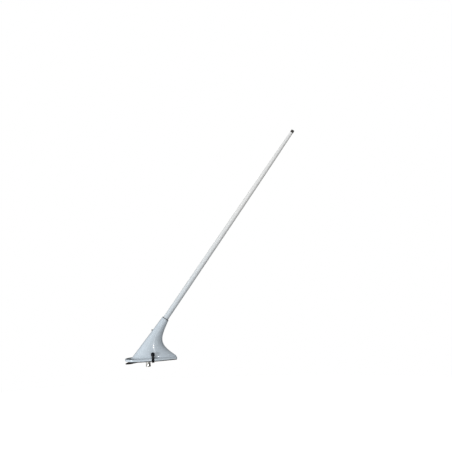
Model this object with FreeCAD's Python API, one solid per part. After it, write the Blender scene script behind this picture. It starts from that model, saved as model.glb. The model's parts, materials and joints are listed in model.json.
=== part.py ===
import FreeCAD, Part
import math
import os

from FreeCAD import Rotation, Vector

# Raked whip antenna. Millimetres. The origin is on the connector's axis at the mounting plane,
# which is the gasket's underside. +X runs aft to the flange's tail, +Z runs up.

# Flange outline: a nose arc and a tail arc joined by two long side arcs
nose_x = -47.0
tail_x = 59.5
nose_radius = 23.0
tail_radius = 3.0
side_radius = 200.0
flange_thickness = 4.4
flange_edge_radius = 1.0

# Gasket
gasket_thickness = 1.6
gasket_inset = 0.4
droop_start_x = -17.5
droop_radius = 30.0
droop_angle = 11.0
connector_clearance_radius = 8.2

# Fin
fin_foot_x = -35.2
fin_tail_gap = 1.4
fin_sink = 1.0
fin_half_width = 13.7
fin_width_power = 1.3
fin_sharpness = 0.86
fin_wall = 3.2
cove_radius = 3.0
tail_shoulder_setback = 3.5
tail_shoulder_rise = 4.0
trail_foot_angle = 144.0
trail_rim_angle = 63.2
trail_foot_pull = 0.57
trail_rim_pull = 0.59
tail_round_pull = 0.5

# Collar and whip
rim_x = 39.15
rim_height = 84.5
rake_angle = 53.36
collar_radius = 7.2
whip_length = 465.0
whip_root_radius = 5.6
whip_mid_radius = 4.8
whip_upper_radius = 4.1
whip_tip_radius = 3.1
whip_mid_at = 260.0
whip_upper_at = 368.0
conductor_radius = 1.0
conductor_end_gap = 6.0
tip_cap_length = 4.0
tip_cap_overhang = 0.3
tip_cap_crown = 0.6
seal_ring_height = 0.8
seal_ring_edge = 0.3
socket_depth = 46.0
ferrule_length = 26.0
ferrule_post_radius = 1.2
ferrule_post_length = 3.0
socket_relief = 8.0
spigot_length = 18.0
spigot_radius = 4.2
set_screw_radius = 2.0
set_screw_at = 34.6
set_screw_stand = 0.8
set_screw_flats = 2.0
set_screw_socket_depth = 1.6
set_screw_overrun = 2.0

# Cavity in the fin
cavity_top_z = 47.0
cavity_nose_wall = 10.0
cavity_tail_wall = 12.0
cavity_end_wall = 4.5
cavity_fade = 2.5

# Base plate, let into the housing's underside
plate_inset = 6.0
plate_tail_setback = 9.5
plate_tail_radius = 3.0
plate_side_radius = 400.0
plate_thickness = 2.5
plate_clearance = 0.2
boss_radius = 3.3
boss_height = 7.0
front_boss_x = -17.5
front_boss_y = 6.3
rear_boss_setback = 21.0
insert_radius = 2.1
insert_length = 5.0
insert_hole_overrun = 1.0
plate_screw_radius = 1.45
plate_screw_length = 7.0
plate_screw_head_radius = 2.8
plate_screw_flats = 2.0
plate_screw_socket_depth = 1.0
plate_screw_gap = 0.1

# Mounting holes
nose_hole_x = -35.0
nose_hole_radius = 2.25
nose_sink_radius = 4.0
nose_pocket_radius = 4.6
nose_pocket_height = 21.0
gasket_hole_gap = 0.5
side_screw_x = 11.5
side_screw_y = 17.4
notch_gap = 0.25

# Side mounting screws, standing raised in their notches
screw_radius = 2.0
screw_tip_z = -2.1
screw_tip_chamfer = 0.4
head_radius = 3.8
head_height = 7.1
head_base_z = 11.6
head_gap = 0.05
head_dome = 0.75
head_clearance = 0.5
socket_flats = 3.0
socket_hole_depth = 3.5
bush_length = 5.1
bush_top_wall = 0.7
bush_foot_wall = 0.45
running_clearance = 0.06
retaining_ring_wall = 0.85
retaining_ring_edge = 0.6
retaining_ring_height = 1.7
retaining_ring_gap = 0.1

# Bayonet bulkhead jack
barrel_radius = 4.8
barrel_rear_radius = 4.6
barrel_reach = 12.0
barrel_nose_length = 3.2
barrel_bore_radius = 4.0
lug_radius = 1.0
lug_reach = 5.5
lug_from_face = 4.6
shoulder_radius = 7.1
shoulder_thickness = 2.4
shank_radius = 4.6
shank_top = 10.0
lip_thickness = 1.0
lip_radius = 2.0
plug_setback = 8.5
sleeve_radius = 2.4
sleeve_setback = 1.0
sleeve_length = 8.0
insulator_boss = 0.6
contact_setback = 0.6
contact_radius = 0.68
contact_bore_radius = 0.45
contact_bore_depth = 5.0
contact_top = 12.0
seal_section_radius = 0.55
seal_radius = 6.0
washer_radius = 7.0
washer_thickness = 0.8
lug_plate_thickness = 0.5
lug_ring_radius = 6.6
tab_length = 5.0
tab_width = 3.0
tab_root = 1.0
tab_eye_reach = 3.5
nut_flats = 12.7
nut_thickness = 2.4

# Matching network
board_length = 28.0
board_height = 18.0
board_thickness = 1.6
board_x = -5.0
board_z = 13.5
board_y = 2.0
bracket_x = 12.0
bracket_width = 11.0
bracket_thickness = 1.0
bracket_height = 16.0
bracket_foot = 7.0
bracket_screw_margin = 2.5
board_screw_drop = 3.0
bracket_screw_inset = 2.6
board_screw_overrun = 0.4
small_screw_radius = 1.0
small_head_radius = 1.9
small_head_height = 1.2
former_radius = 2.4
former_length = 15.0
former_foot_thickness = 1.6
former_foot_flare = 0.8
former_pad_width = 3.0
former_cap_thickness = 0.8
former_cap_flare = 1.0
coil_along = 9.6
coil_up = 2.0
coil_gap = 0.3
coil_wire_radius = 0.45
coil_turns = 12
capacitor_count = 3
capacitor_along = 14.5
capacitor_pitch = 4.4
capacitor_width = 3.2
capacitor_depth = 2.6
capacitor_height = 4.8
capacitor_drop = 6.5
capacitor_edge = 0.4
lead_radius = 0.5
lead_bend = 0.7
feed_along = 2.5
feed_up = 5.0
feed_rise = 2.5
whip_lead_drop = 2.5
whip_lead_back = 1.0
whip_lead_dip = 4.0
ground_along = 1.2
ground_up = 1.6
ground_dip = 3.0

# Shared clearances
slip = 0.05
snug = 0.01

bush_top_radius = screw_radius + bush_top_wall
bush_foot_radius = screw_radius + bush_foot_wall
notch_radius = bush_top_radius + notch_gap
retaining_ring_radius = screw_radius + retaining_ring_wall
tail_shoulder_x = tail_x - tail_shoulder_setback
plate_tail_x = tail_x - plate_tail_setback
rear_boss_x = tail_x - rear_boss_setback
flange_base = gasket_thickness
flange_top = flange_base + flange_thickness
plate_top = flange_base + plate_thickness
fin_root = flange_top - fin_sink
fin_base = Vector(tail_x - fin_tail_gap, 0, fin_root)
whip_turn = Rotation(Vector(0, 1, 0), 90 - rake_angle)
rim_centre = Vector(rim_x, 0, rim_height)


def direction(angle):
    """Unit vector in the XZ plane at this angle above +X."""
    return Vector(math.cos(math.radians(angle)), 0, math.sin(math.radians(angle)))


def cylinder(radius, height, at, axis=Vector(0, 0, 1)):
    return Part.makeCylinder(radius, height, at, axis)


def tube(outer, inner, height, at):
    return cylinder(outer, height, at).cut(cylinder(inner, height, at))


def prism(flats, height, at):
    """A hexagonal bar standing on this point."""
    corner = flats / 2 / math.cos(math.pi / 6)
    angles = [math.pi / 3 * i for i in range(7)]
    corners = [at + Vector(corner * math.cos(a), corner * math.sin(a), 0) for a in angles]
    return Part.Face(Part.makePolygon(corners)).extrude(Vector(0, 0, height))


def lathe(profile):
    """Solid turned about Z from (radius, height) points."""
    points = [Vector(radius, 0, height) for radius, height in profile]
    face = Part.Face(Part.makePolygon(points + points[:1]))
    return face.revolve(Vector(), Vector(0, 0, 1), 360)


def to_whip(shape):
    """Move a shape from the whip's own frame, with its rim at zero and the whip along +Z."""
    moved = shape.copy()
    moved.Placement = FreeCAD.Placement(rim_centre, whip_turn).multiply(moved.Placement)
    return moved


def whip_point(x, z):
    return rim_centre + whip_turn.multVec(Vector(x, 0, z))


def group(shapes):
    return Part.makeCompound(shapes)


def teardrop(start_x, end_x, big, small, side, z):
    """Teardrop face: nose and tail arcs with a side arc tangent to both."""
    nose, tail = start_x + big, end_x - small
    gap = tail - nose
    near, far = side - big, side - small
    across = (gap * gap + near * near - far * far) / (2 * gap)
    centre = Vector(nose + across, -math.sqrt(near * near - across * across), z)

    def touch(circle_x, radius):
        middle = Vector(circle_x, 0, z)
        return middle + (middle - centre).normalize() * radius

    def mirror(point):
        return Vector(point.x, -point.y, point.z)

    high_nose, high_tail = touch(nose, big), touch(tail, small)
    half_way = ((high_nose + high_tail) * 0.5 - centre).normalize() * side + centre
    arcs = [
        (mirror(high_nose), Vector(start_x, 0, z), high_nose),
        (high_nose, half_way, high_tail),
        (high_tail, Vector(end_x, 0, z), mirror(high_tail)),
        (mirror(high_tail), mirror(half_way), mirror(high_nose)),
    ]
    return Part.Face(Part.Wire([Part.Arc(*arc).toShape() for arc in arcs]))


def flange_outline(inset, z):
    big, small, side = nose_radius - inset, tail_radius - inset, side_radius - inset
    return teardrop(nose_x + inset, tail_x - inset, big, small, side, z)


def plate_outline(grow, z):
    start = nose_x + plate_inset - grow
    big, small = nose_radius - plate_inset + grow, plate_tail_radius + grow
    return teardrop(start, plate_tail_x + grow, big, small, plate_side_radius + grow, z)


def cubic(start, leave, arrive, end, t):
    u = 1 - t
    return start * u**3 + leave * (3 * u * u * t) + arrive * (3 * u * t * t) + end * t**3


def trailing_point(t):
    """The fin's trailing edge: a rounded tail below zero, then one curve up to the collar's rim."""
    shoulder = Vector(tail_shoulder_x, 0, flange_top + tail_shoulder_rise)
    slope = direction(trail_foot_angle)
    if t < 0:
        pull = (shoulder - fin_base).Length * tail_round_pull
        leave = fin_base + Vector(0, 0, pull)
        return cubic(fin_base, leave, shoulder - slope * pull, shoulder, 1 + t)
    end = whip_point(collar_radius, 0)
    span = (end - shoulder).Length
    arrive = end - direction(trail_rim_angle) * span * trail_rim_pull
    return cubic(shoulder, shoulder + slope * span * trail_foot_pull, arrive, end, t)


def station_at(height):
    """The station whose trailing point lies at this height, found by halving."""
    low, high = -1.0, 1.0
    for _ in range(30):
        middle = (low + high) / 2
        if trailing_point(middle).z < height:
            low = middle
        else:
            high = middle
    return (low + high) / 2


def leading_point(share):
    """The straight leading edge, by share of its height."""
    foot = Vector(fin_foot_x, 0, fin_root)
    return foot + (whip_point(-collar_radius, 0) - foot) * share


def fin_section(t, grow=0.0, nose_wall=0.0, tail_wall=0.0):
    """One closed section of the fin, teardrop at the foot and round at the rim."""
    tail = trailing_point(t)
    share = (tail.z - fin_root) / (whip_point(collar_radius, 0).z - fin_root)
    nose = leading_point(share)
    chord = (tail - nose).normalize()
    nose, tail = nose + chord * (nose_wall - grow), tail - chord * tail_wall
    width = collar_radius + (fin_half_width - collar_radius) * (1 - share**fin_width_power) + grow
    sharp = fin_sharpness * (1 - share) ** 0.8
    centre, half = (nose + tail) * 0.5, (tail - nose).Length / 2

    def fullness(a):
        return math.sin(a) * (1 - sharp + sharp * math.cos(a / 2))

    widest = max(fullness(math.pi * i / 180) for i in range(181))
    points = []
    steps = 24
    for i in range(steps):
        a = 2 * math.pi * i / steps
        side = 1 if a <= math.pi else -1
        folded = a if a <= math.pi else 2 * math.pi - a
        along = chord * (-half * math.cos(folded))
        points.append(centre + along + Vector(0, side * width * fullness(folded) / widest, 0))
    curve = Part.BSplineCurve()
    curve.interpolate(Points=points, PeriodicFlag=True)
    return Part.Wire(curve.toShape())


def fin_outside():
    stations = [-1, -0.75, -0.5, -0.25, 0, 0.05, 0.12, 0.2, 0.3, 0.42, 0.55, 0.68, 0.8, 0.91, 1]
    return Part.makeLoft([fin_section(t) for t in stations], True, False)


def fin_foot_cove():
    """Flare where the fin meets the flange, in straight steps of a hollow quarter round."""
    rings = []
    for height in (-0.1, 0.0, 0.2, 0.5, 1.1):
        left = min(1, max(0, 1 - height))
        flare = 1 - math.sqrt(1 - left * left) if height < 1 else -0.1
        t = station_at(flange_top + height * cove_radius)
        rings.append(fin_section(t, flare * cove_radius))
    return Part.makeLoft(rings, True, True)


def cavity():
    """Hollow inside the fin, open downwards into the plate's recess."""
    rings = []
    stops = 5
    for i in range(stops + 1):
        t = station_at(flange_top + (cavity_top_z - flange_top) * i / stops)
        fade = max(0.0, 1 - cavity_fade * i / stops)
        nose_wall = cavity_end_wall + (cavity_nose_wall - cavity_end_wall) * fade
        tail_wall = cavity_end_wall + (cavity_tail_wall - cavity_end_wall) * fade
        ring = fin_section(t, 0.0, nose_wall, tail_wall)
        rings.append(ring)
    hollow = Part.makeLoft([narrowed(ring) for ring in rings], True, False)
    foot = Part.Face(narrowed(rings[0])).extrude(Vector(0, 0, plate_top - flange_top - plate_clearance))
    return hollow.fuse(foot)


def narrowed(ring):
    """The same section with its half width less the fin's wall."""
    box = ring.BoundBox
    share = (box.YLength / 2 - fin_wall) / (box.YLength / 2)
    squeeze = FreeCAD.Matrix()
    squeeze.A22 = share
    return ring.transformGeometry(squeeze)


def bosses():
    spots = [(front_boss_x, front_boss_y), (front_boss_x, -front_boss_y), (rear_boss_x, 0)]
    return [Vector(x, y, plate_top) for x, y in spots]


def side_notches(base, height):
    """Open notches for the two side screws, cut out to beyond the flange's edge."""
    cuts = []
    for side in (1, -1):
        at = Vector(side_screw_x, side * side_screw_y, base)
        corner = at + Vector(-notch_radius, 0 if side > 0 else -nose_radius, 0)
        cuts.append(cylinder(notch_radius, height, at))
        cuts.append(Part.makeBox(2 * notch_radius, nose_radius, height, corner))
    return cuts


def radome_housing():
    flange = flange_outline(0, flange_base).extrude(Vector(0, 0, flange_thickness))
    top_edges = [e for e in flange.Edges if e.BoundBox.ZMin > flange_top - slip]
    flange = flange.makeFillet(flange_edge_radius, top_edges)
    body = flange.fuse([fin_outside(), fin_foot_cove()])
    hollow = cavity().cut([cylinder(boss_radius, boss_height, at) for at in bosses()])
    recess = plate_outline(plate_clearance, flange_base).extrude(Vector(0, 0, plate_thickness))
    cuts = [hollow, recess]
    cuts += side_notches(flange_base, flange_thickness)
    for side in (1, -1):
        at = Vector(side_screw_x, side * side_screw_y, flange_top)
        cuts.append(cylinder(head_radius + head_clearance, head_base_z, at))
    nose = Vector(nose_hole_x, 0, flange_base)
    cuts.append(cylinder(nose_hole_radius, flange_thickness, nose))
    sink = nose_sink_radius - nose_hole_radius
    sink_base = nose + Vector(0, 0, flange_thickness - sink)
    cuts.append(Part.makeCone(nose_hole_radius, nose_sink_radius, sink, sink_base))
    cuts.append(cylinder(nose_pocket_radius, nose_pocket_height, nose + Vector(0, 0, flange_thickness)))
    for at in bosses():
        cuts.append(cylinder(insert_radius + slip, insert_length, at))
        cuts.append(cylinder(plate_screw_radius + plate_screw_gap, insert_length + insert_hole_overrun, at))
    depth = socket_depth + socket_relief
    cuts.append(to_whip(cylinder(whip_root_radius + slip, depth, Vector(0, 0, -depth))))
    cuts.append(to_whip(set_screw_bore()))
    return body.cut(cuts)


def set_screw_reach():
    """Distance from the whip's axis to the leading edge where the set screw stands."""
    foot, rim = leading_point(0), leading_point(1)
    lean = math.atan2(rim.z - foot.z, rim.x - foot.x)
    return collar_radius + set_screw_at * math.tan(math.radians(rake_angle) - lean)


def set_screw_bore():
    start = Vector(-whip_root_radius, 0, -set_screw_at)
    length = set_screw_reach() - whip_root_radius + set_screw_overrun
    return cylinder(set_screw_radius + slip, length, start, Vector(-1, 0, 0))


def whip_set_screw():
    length = set_screw_reach() - whip_root_radius + set_screw_stand - slip
    start = Vector(-whip_root_radius - slip, 0, -set_screw_at)
    screw = cylinder(set_screw_radius, length, start, Vector(-1, 0, 0))
    bore = prism(set_screw_flats, set_screw_socket_depth, Vector())
    bore.Placement = FreeCAD.Placement(start + Vector(-length, 0, 0), Rotation(Vector(0, 1, 0), 90))
    return to_whip(screw.cut(bore))


def whip_rod():
    bore = conductor_radius + slip
    top = whip_length - tip_cap_length / 2
    foot = -socket_depth + ferrule_length - spigot_length
    shoulder = -socket_depth + ferrule_length
    outer = Part.BSplineCurve()
    marks = [(0, whip_root_radius), (whip_mid_at, whip_mid_radius), (whip_upper_at, whip_upper_radius)]
    marks.append((top, whip_tip_radius))
    outer.interpolate([Vector(radius, 0, height) for height, radius in marks])
    run = [(whip_tip_radius, top), (bore, top), (bore, foot), (spigot_radius, foot)]
    run += [(spigot_radius, shoulder), (whip_root_radius, shoulder), (whip_root_radius, 0)]
    chain = Part.makePolygon([Vector(radius, 0, height) for radius, height in run])
    face = Part.Face(Part.Wire([outer.toShape()] + chain.Edges))
    return to_whip(face.revolve(Vector(), Vector(0, 0, 1), 360))


def whip_conductor():
    foot = -socket_depth + ferrule_length - spigot_length
    top = whip_length - tip_cap_length - conductor_end_gap
    return to_whip(cylinder(conductor_radius, top - foot, Vector(0, 0, foot)))


def whip_ferrule():
    base = Vector(0, 0, -socket_depth)
    outer = cylinder(whip_root_radius, ferrule_length, base)
    floor = base + Vector(0, 0, ferrule_length - spigot_length)
    socket = cylinder(spigot_radius + slip, spigot_length, floor)
    drop = Vector(0, 0, ferrule_post_length)
    post = cylinder(ferrule_post_radius, ferrule_post_length, base - drop)
    return to_whip(outer.cut(socket).fuse(post))


def collar_seal_ring():
    ring = tube(collar_radius - seal_ring_edge, whip_root_radius + slip, seal_ring_height, Vector())
    top_edges = [e for e in ring.Edges if e.BoundBox.ZMin > seal_ring_height / 2]
    return to_whip(ring.makeFillet(seal_ring_edge, top_edges))


def tip_cap():
    outer = whip_tip_radius + tip_cap_overhang
    crown = outer * tip_cap_crown
    top = whip_length
    half = tip_cap_length / 2
    profile = [(0, top - half), (outer, top - half), (outer, top), (crown, top + half), (0, top + half)]
    skirt = tube(outer, whip_tip_radius + 2 * slip, half, Vector(0, 0, top - 2 * half))
    return to_whip(lathe(profile).fuse(skirt))


def mounting_gasket():
    """Rubber sheet under the flange, whose nose end droops away from it."""
    outer = flange_outline(gasket_inset, -2 * nose_radius).extrude(Vector(0, 0, 3 * nose_radius))
    angle = math.radians(droop_angle)
    centre = Vector(droop_start_x, -nose_radius, gasket_thickness - droop_radius)
    forward = Vector(-math.cos(angle), 0, -math.sin(angle)) * (droop_start_x - nose_x)

    def on_bend(radius, turn):
        return centre + Vector(-radius * math.sin(turn), 0, radius * math.cos(turn))

    low = [on_bend(droop_radius - gasket_thickness, turn) for turn in (0, angle / 2, angle)]
    high = [on_bend(droop_radius, turn) for turn in (angle, angle / 2, 0)]
    tail = Vector(tail_x, -nose_radius, 0)
    tail_high = tail + Vector(0, 0, gasket_thickness)
    edges = [
        Part.makeLine(tail, low[0]),
        Part.Arc(*low).toShape(),
        Part.makeLine(low[-1], low[-1] + forward),
        Part.makeLine(low[-1] + forward, high[0] + forward),
        Part.makeLine(high[0] + forward, high[0]),
        Part.Arc(*high).toShape(),
        Part.makeLine(high[-1], tail_high),
        Part.makeLine(tail_high, tail),
    ]
    band = Part.Face(Part.Wire(edges)).extrude(Vector(0, 2 * nose_radius, 0))
    cuts = [cylinder(connector_clearance_radius, gasket_thickness, Vector())]
    cuts += side_notches(0, gasket_thickness)
    hole_base = Vector(nose_hole_x, 0, -2 * nose_radius)
    cuts.append(cylinder(nose_hole_radius + gasket_hole_gap, 4 * nose_radius, hole_base))
    return band.common(outer).cut(cuts)


def base_plate():
    plate = plate_outline(0, flange_base).extrude(Vector(0, 0, plate_thickness))
    cuts = [cylinder(shank_radius + slip, plate_thickness, Vector(0, 0, flange_base))]
    cuts.append(cylinder(nose_hole_radius, plate_thickness, Vector(nose_hole_x, 0, flange_base)))
    for at in bosses():
        low = Vector(at.x, at.y, flange_base)
        cuts.append(cylinder(plate_screw_radius + slip, plate_thickness, low))
        cuts.append(plate_screw_head(low, slip))
    for at in bracket_screw_spots():
        low = Vector(at.x, at.y, flange_base)
        cuts.append(cylinder(small_screw_radius + slip, plate_thickness, low))
    return plate.cut(cuts)


def plate_screw_head(at, grow):
    depth = plate_screw_head_radius - plate_screw_radius
    return Part.makeCone(plate_screw_head_radius + grow, plate_screw_radius + grow, depth, at)


def base_plate_screws():
    screws = []
    for at in bosses():
        low = Vector(at.x, at.y, flange_base)
        screw = plate_screw_head(low, 0).fuse(cylinder(plate_screw_radius, plate_screw_length, low))
        screws.append(screw.cut(prism(plate_screw_flats, plate_screw_socket_depth, low)))
    return group(screws)


def threaded_inserts():
    bore = plate_screw_radius + slip
    return group([tube(insert_radius, bore, insert_length, at) for at in bosses()])


def mounting_screw(side):
    """Round-head screw with a hexagonal socket."""
    dome = head_radius * head_dome
    straight = head_height - dome
    at = Vector(side_screw_x, side * side_screw_y, 0)
    base = head_base_z + head_gap
    head = cylinder(head_radius, head_height, at + Vector(0, 0, base))
    head = head.makeFillet(dome, [e for e in head.Edges if e.BoundBox.ZMin > base + straight])
    shank = cylinder(screw_radius, base - screw_tip_z, at + Vector(0, 0, screw_tip_z))
    tip_edges = [e for e in shank.Edges if e.BoundBox.ZMax < screw_tip_z + slip]
    shank = shank.makeChamfer(screw_tip_chamfer, tip_edges)
    top = at + Vector(0, 0, base + head_height - socket_hole_depth)
    return head.fuse(shank).cut(prism(socket_flats, socket_hole_depth, top))


def screw_bush(side):
    """Tapered bush that centres the screw in its notch once it is driven home."""
    at = Vector(side_screw_x, side * side_screw_y, head_base_z - bush_length)
    cone = Part.makeCone(bush_foot_radius, bush_top_radius, bush_length, at)
    return cone.cut(cylinder(screw_radius + running_clearance, bush_length, at))


def retaining_ring(side):
    """Soft ring on the screw's tip that keeps it with the antenna until it is fitted."""
    low = -retaining_ring_gap - retaining_ring_height
    at = Vector(side_screw_x, side * side_screw_y, low)
    ring = tube(retaining_ring_radius, screw_radius + snug, retaining_ring_height, at)
    outer = [e for e in ring.Edges if e.Length > 2 * math.pi * (retaining_ring_radius - slip)]
    return ring.makeFillet(retaining_ring_edge, outer)


def connector_body():
    """Jack barrel with lugs, shoulder with a seal groove, and threaded shank."""
    face = -barrel_reach
    shoulder_base = flange_base - shoulder_thickness
    step = face + barrel_nose_length
    body = cylinder(barrel_radius, barrel_nose_length, Vector(0, 0, face))
    rear = cylinder(barrel_rear_radius, shoulder_base - step, Vector(0, 0, step))
    shoulder = cylinder(shoulder_radius, shoulder_thickness, Vector(0, 0, shoulder_base))
    shank = cylinder(shank_radius, shank_top - flange_base, Vector(0, 0, flange_base))
    lug_start = Vector(0, -lug_reach, face + lug_from_face)
    lugs = cylinder(lug_radius, 2 * lug_reach, lug_start, Vector(0, 1, 0))
    body = body.fuse([rear, shoulder, shank, lugs])
    bore = cylinder(barrel_bore_radius, shank_top - lip_thickness - face, Vector(0, 0, face))
    groove_depth = 2 * seal_section_radius
    outer, inner = seal_radius + seal_section_radius, seal_radius - seal_section_radius
    groove = tube(outer + slip, inner - slip, groove_depth, Vector(0, 0, flange_base - groove_depth))
    hole = cylinder(lip_radius, lip_thickness, Vector(0, 0, shank_top - lip_thickness))
    return body.cut([bore, groove, hole])


def connector_seal():
    height = flange_base - seal_section_radius
    return Part.makeTorus(seal_radius, seal_section_radius, Vector(0, 0, height))


def connector_insulator():
    face = -barrel_reach
    plug_base = face + plug_setback
    plug_top = shank_top - lip_thickness
    plug = cylinder(barrel_bore_radius - slip, plug_top - plug_base, Vector(0, 0, plug_base))
    sleeve = cylinder(sleeve_radius, sleeve_length, Vector(0, 0, face + sleeve_setback))
    boss = cylinder(lip_radius - slip, lip_thickness + insulator_boss, Vector(0, 0, plug_top))
    hole = cylinder(contact_radius + snug, shank_top + insulator_boss - face, Vector(0, 0, face))
    return plug.fuse([sleeve, boss]).cut(hole)


def connector_contact():
    low = Vector(0, 0, contact_setback - barrel_reach)
    pin = cylinder(contact_radius, contact_top - low.z, low)
    return pin.cut(cylinder(contact_bore_radius, contact_bore_depth, low))


def connector_lock_washer():
    return tube(washer_radius, shank_radius + slip, washer_thickness, Vector(0, 0, plate_top))


def ground_lug_base():
    return plate_top + washer_thickness


def ground_lug():
    at = Vector(0, 0, ground_lug_base())
    corner = at - Vector(lug_ring_radius + tab_length, tab_width / 2, 0)
    tab = Part.makeBox(tab_length + tab_root, tab_width, lug_plate_thickness, corner)
    whole = cylinder(lug_ring_radius, lug_plate_thickness, at).fuse(tab)
    eye_at = at - Vector(lug_ring_radius + tab_eye_reach, 0, 0)
    eye = cylinder(lead_radius + slip, lug_plate_thickness, eye_at)
    return whole.cut([cylinder(shank_radius + slip, lug_plate_thickness, at), eye])


def connector_nut():
    at = Vector(0, 0, ground_lug_base() + lug_plate_thickness)
    return prism(nut_flats, nut_thickness, at).cut(cylinder(shank_radius + slip, nut_thickness, at))


def bracket_columns():
    return bracket_x + bracket_screw_margin, bracket_x + bracket_width - bracket_screw_margin


def board_screw_spots():
    """Centres of the board's two screws, on the bracket's face."""
    y = board_y + board_thickness + bracket_thickness
    return [Vector(x, y, plate_top + bracket_height - board_screw_drop) for x in bracket_columns()]


def bracket_screw_spots():
    y = board_y + board_thickness + bracket_thickness - bracket_foot + bracket_screw_inset
    return [Vector(x, y, plate_top + bracket_thickness) for x in bracket_columns()]


def matching_board():
    corner = Vector(board_x, board_y, board_z)
    board = Part.makeBox(board_length, board_thickness, board_height, corner)
    holes = []
    for at in board_screw_spots():
        start = Vector(at.x, board_y, at.z)
        holes.append(cylinder(small_screw_radius + slip, board_thickness, start, Vector(0, 1, 0)))
    return board.cut(holes)


def board_bracket():
    back = board_y + board_thickness
    corner = Vector(bracket_x, back, plate_top)
    upright = Part.makeBox(bracket_width, bracket_thickness, bracket_height, corner)
    corner = Vector(bracket_x, back + bracket_thickness - bracket_foot, plate_top)
    foot = Part.makeBox(bracket_width, bracket_foot, bracket_thickness, corner)
    cuts = []
    for at in board_screw_spots():
        start = Vector(at.x, back, at.z)
        cuts.append(cylinder(small_screw_radius + slip, bracket_thickness, start, Vector(0, 1, 0)))
    for at in bracket_screw_spots():
        low = Vector(at.x, at.y, plate_top)
        cuts.append(cylinder(small_screw_radius + slip, bracket_thickness, low))
    return upright.fuse(foot).cut(cuts)


def small_screw(at, axis, length):
    """Pan-head screw whose head lies on this point, with its shank along the axis."""
    head = cylinder(small_head_radius, small_head_height, at, axis * -1)
    return head.fuse(cylinder(small_screw_radius, length, at, axis))


def board_screws():
    """Screws from the board's face into nuts behind the bracket."""
    reach = board_thickness + bracket_thickness + board_screw_overrun
    starts = [Vector(at.x, board_y, at.z) for at in board_screw_spots()]
    return group([small_screw(start, Vector(0, 1, 0), reach) for start in starts])


def bracket_screws():
    reach = bracket_thickness + plate_thickness
    return group([small_screw(at, Vector(0, 0, -1), reach) for at in bracket_screw_spots()])


def coil_centre():
    reach = former_radius + 2 * coil_wire_radius + coil_gap
    return Vector(board_x + coil_along, board_y - reach, board_z + coil_up)


def coil_former():
    foot = coil_centre()
    rod = cylinder(former_radius, former_length, foot)
    corner = foot - Vector(former_pad_width / 2, 0, former_foot_thickness)
    pad = Part.makeBox(former_pad_width, board_y - foot.y, former_foot_thickness, corner)
    low = foot - Vector(0, 0, former_foot_thickness)
    base = cylinder(former_radius + former_foot_flare, former_foot_thickness, low)
    top = foot + Vector(0, 0, former_length)
    cap = cylinder(former_radius + former_cap_flare, former_cap_thickness, top)
    return rod.fuse([pad, cap, base])


def matching_coil():
    """Close-wound coil, as a sleeve with one round rib per turn."""
    inner = former_radius + slip
    pitch = 2 * coil_wire_radius
    middle = inner + coil_wire_radius
    low = (former_length - coil_turns * pitch) / 2
    top = low + coil_turns * pitch
    edges = []
    for turn in range(coil_turns):
        base = low + turn * pitch
        crest = Vector(middle + coil_wire_radius, 0, base + coil_wire_radius)
        edges.append(Part.Arc(Vector(middle, 0, base), crest, Vector(middle, 0, base + pitch)).toShape())
    corners = [(middle, top), (inner, top), (inner, low), (middle, low)]
    back = Part.makePolygon([Vector(radius, 0, height) for radius, height in corners])
    sleeve = Part.Face(Part.Wire(edges + back.Edges)).revolve(Vector(), Vector(0, 0, 1), 360)
    sleeve.translate(coil_centre())
    return sleeve


def capacitors():
    """Box capacitors that stand on the board's near face."""
    boxes = []
    for i in range(capacitor_count):
        x = board_x + capacitor_along + capacitor_pitch * i
        corner = Vector(x, board_y - capacitor_depth, board_z + board_height - capacitor_drop)
        box = Part.makeBox(capacitor_width, capacitor_depth, capacitor_height, corner)
        boxes.append(box.makeFillet(capacitor_edge, box.Edges))
    return group(boxes)


def lead(points):
    """Round wire along straight runs joined by arcs of one bend radius."""
    edges = []
    start = points[0]
    for before, corner, after in zip(points, points[1:], points[2:]):
        inward, outward = (corner - before).normalize(), (after - corner).normalize()
        half_turn = inward.getAngle(outward) / 2
        cut = lead_bend * math.tan(half_turn)
        leave, join = corner - inward * cut, corner + outward * cut
        sagitta = lead_bend * (1 / math.cos(half_turn) - 1)
        middle = corner + (outward - inward).normalize() * sagitta
        edges.append(Part.makeLine(start, leave))
        edges.append(Part.Arc(leave, middle, join).toShape())
        start = join
    edges.append(Part.makeLine(start, points[-1]))
    first = (points[1] - points[0]).normalize()
    ring = Part.Wire(Part.makeCircle(lead_radius, points[0], first))
    return Part.Wire(edges).makePipeShell([ring], True, False)


def feed_wire():
    """From the jack's contact to the board's lower edge."""
    start = Vector(0, 0, contact_top)
    end = Vector(board_x + feed_along, board_y, board_z + feed_up)
    return lead([start, start + Vector(0, 0, feed_rise), Vector(end.x, 0, end.z), end])


def whip_lead():
    """From the board's upper edge to the post under the whip's ferrule."""
    post = whip_point(0, -socket_depth - ferrule_post_length)
    start = Vector(post.x - whip_lead_back, board_y, board_z + board_height - whip_lead_drop)
    low = whip_point(0, -socket_depth - ferrule_post_length - whip_lead_dip)
    return lead([start, Vector(start.x, low.y, start.z), low, post])


def ground_wire():
    """From the ground lug up to the board's edge."""
    start = Vector(-lug_ring_radius - tab_eye_reach, 0, ground_lug_base())
    end = Vector(board_x + ground_along, board_y, board_z + ground_up)
    return lead([start, Vector(start.x, 0, end.z - ground_dip), Vector(end.x, 0, end.z), end])


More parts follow.
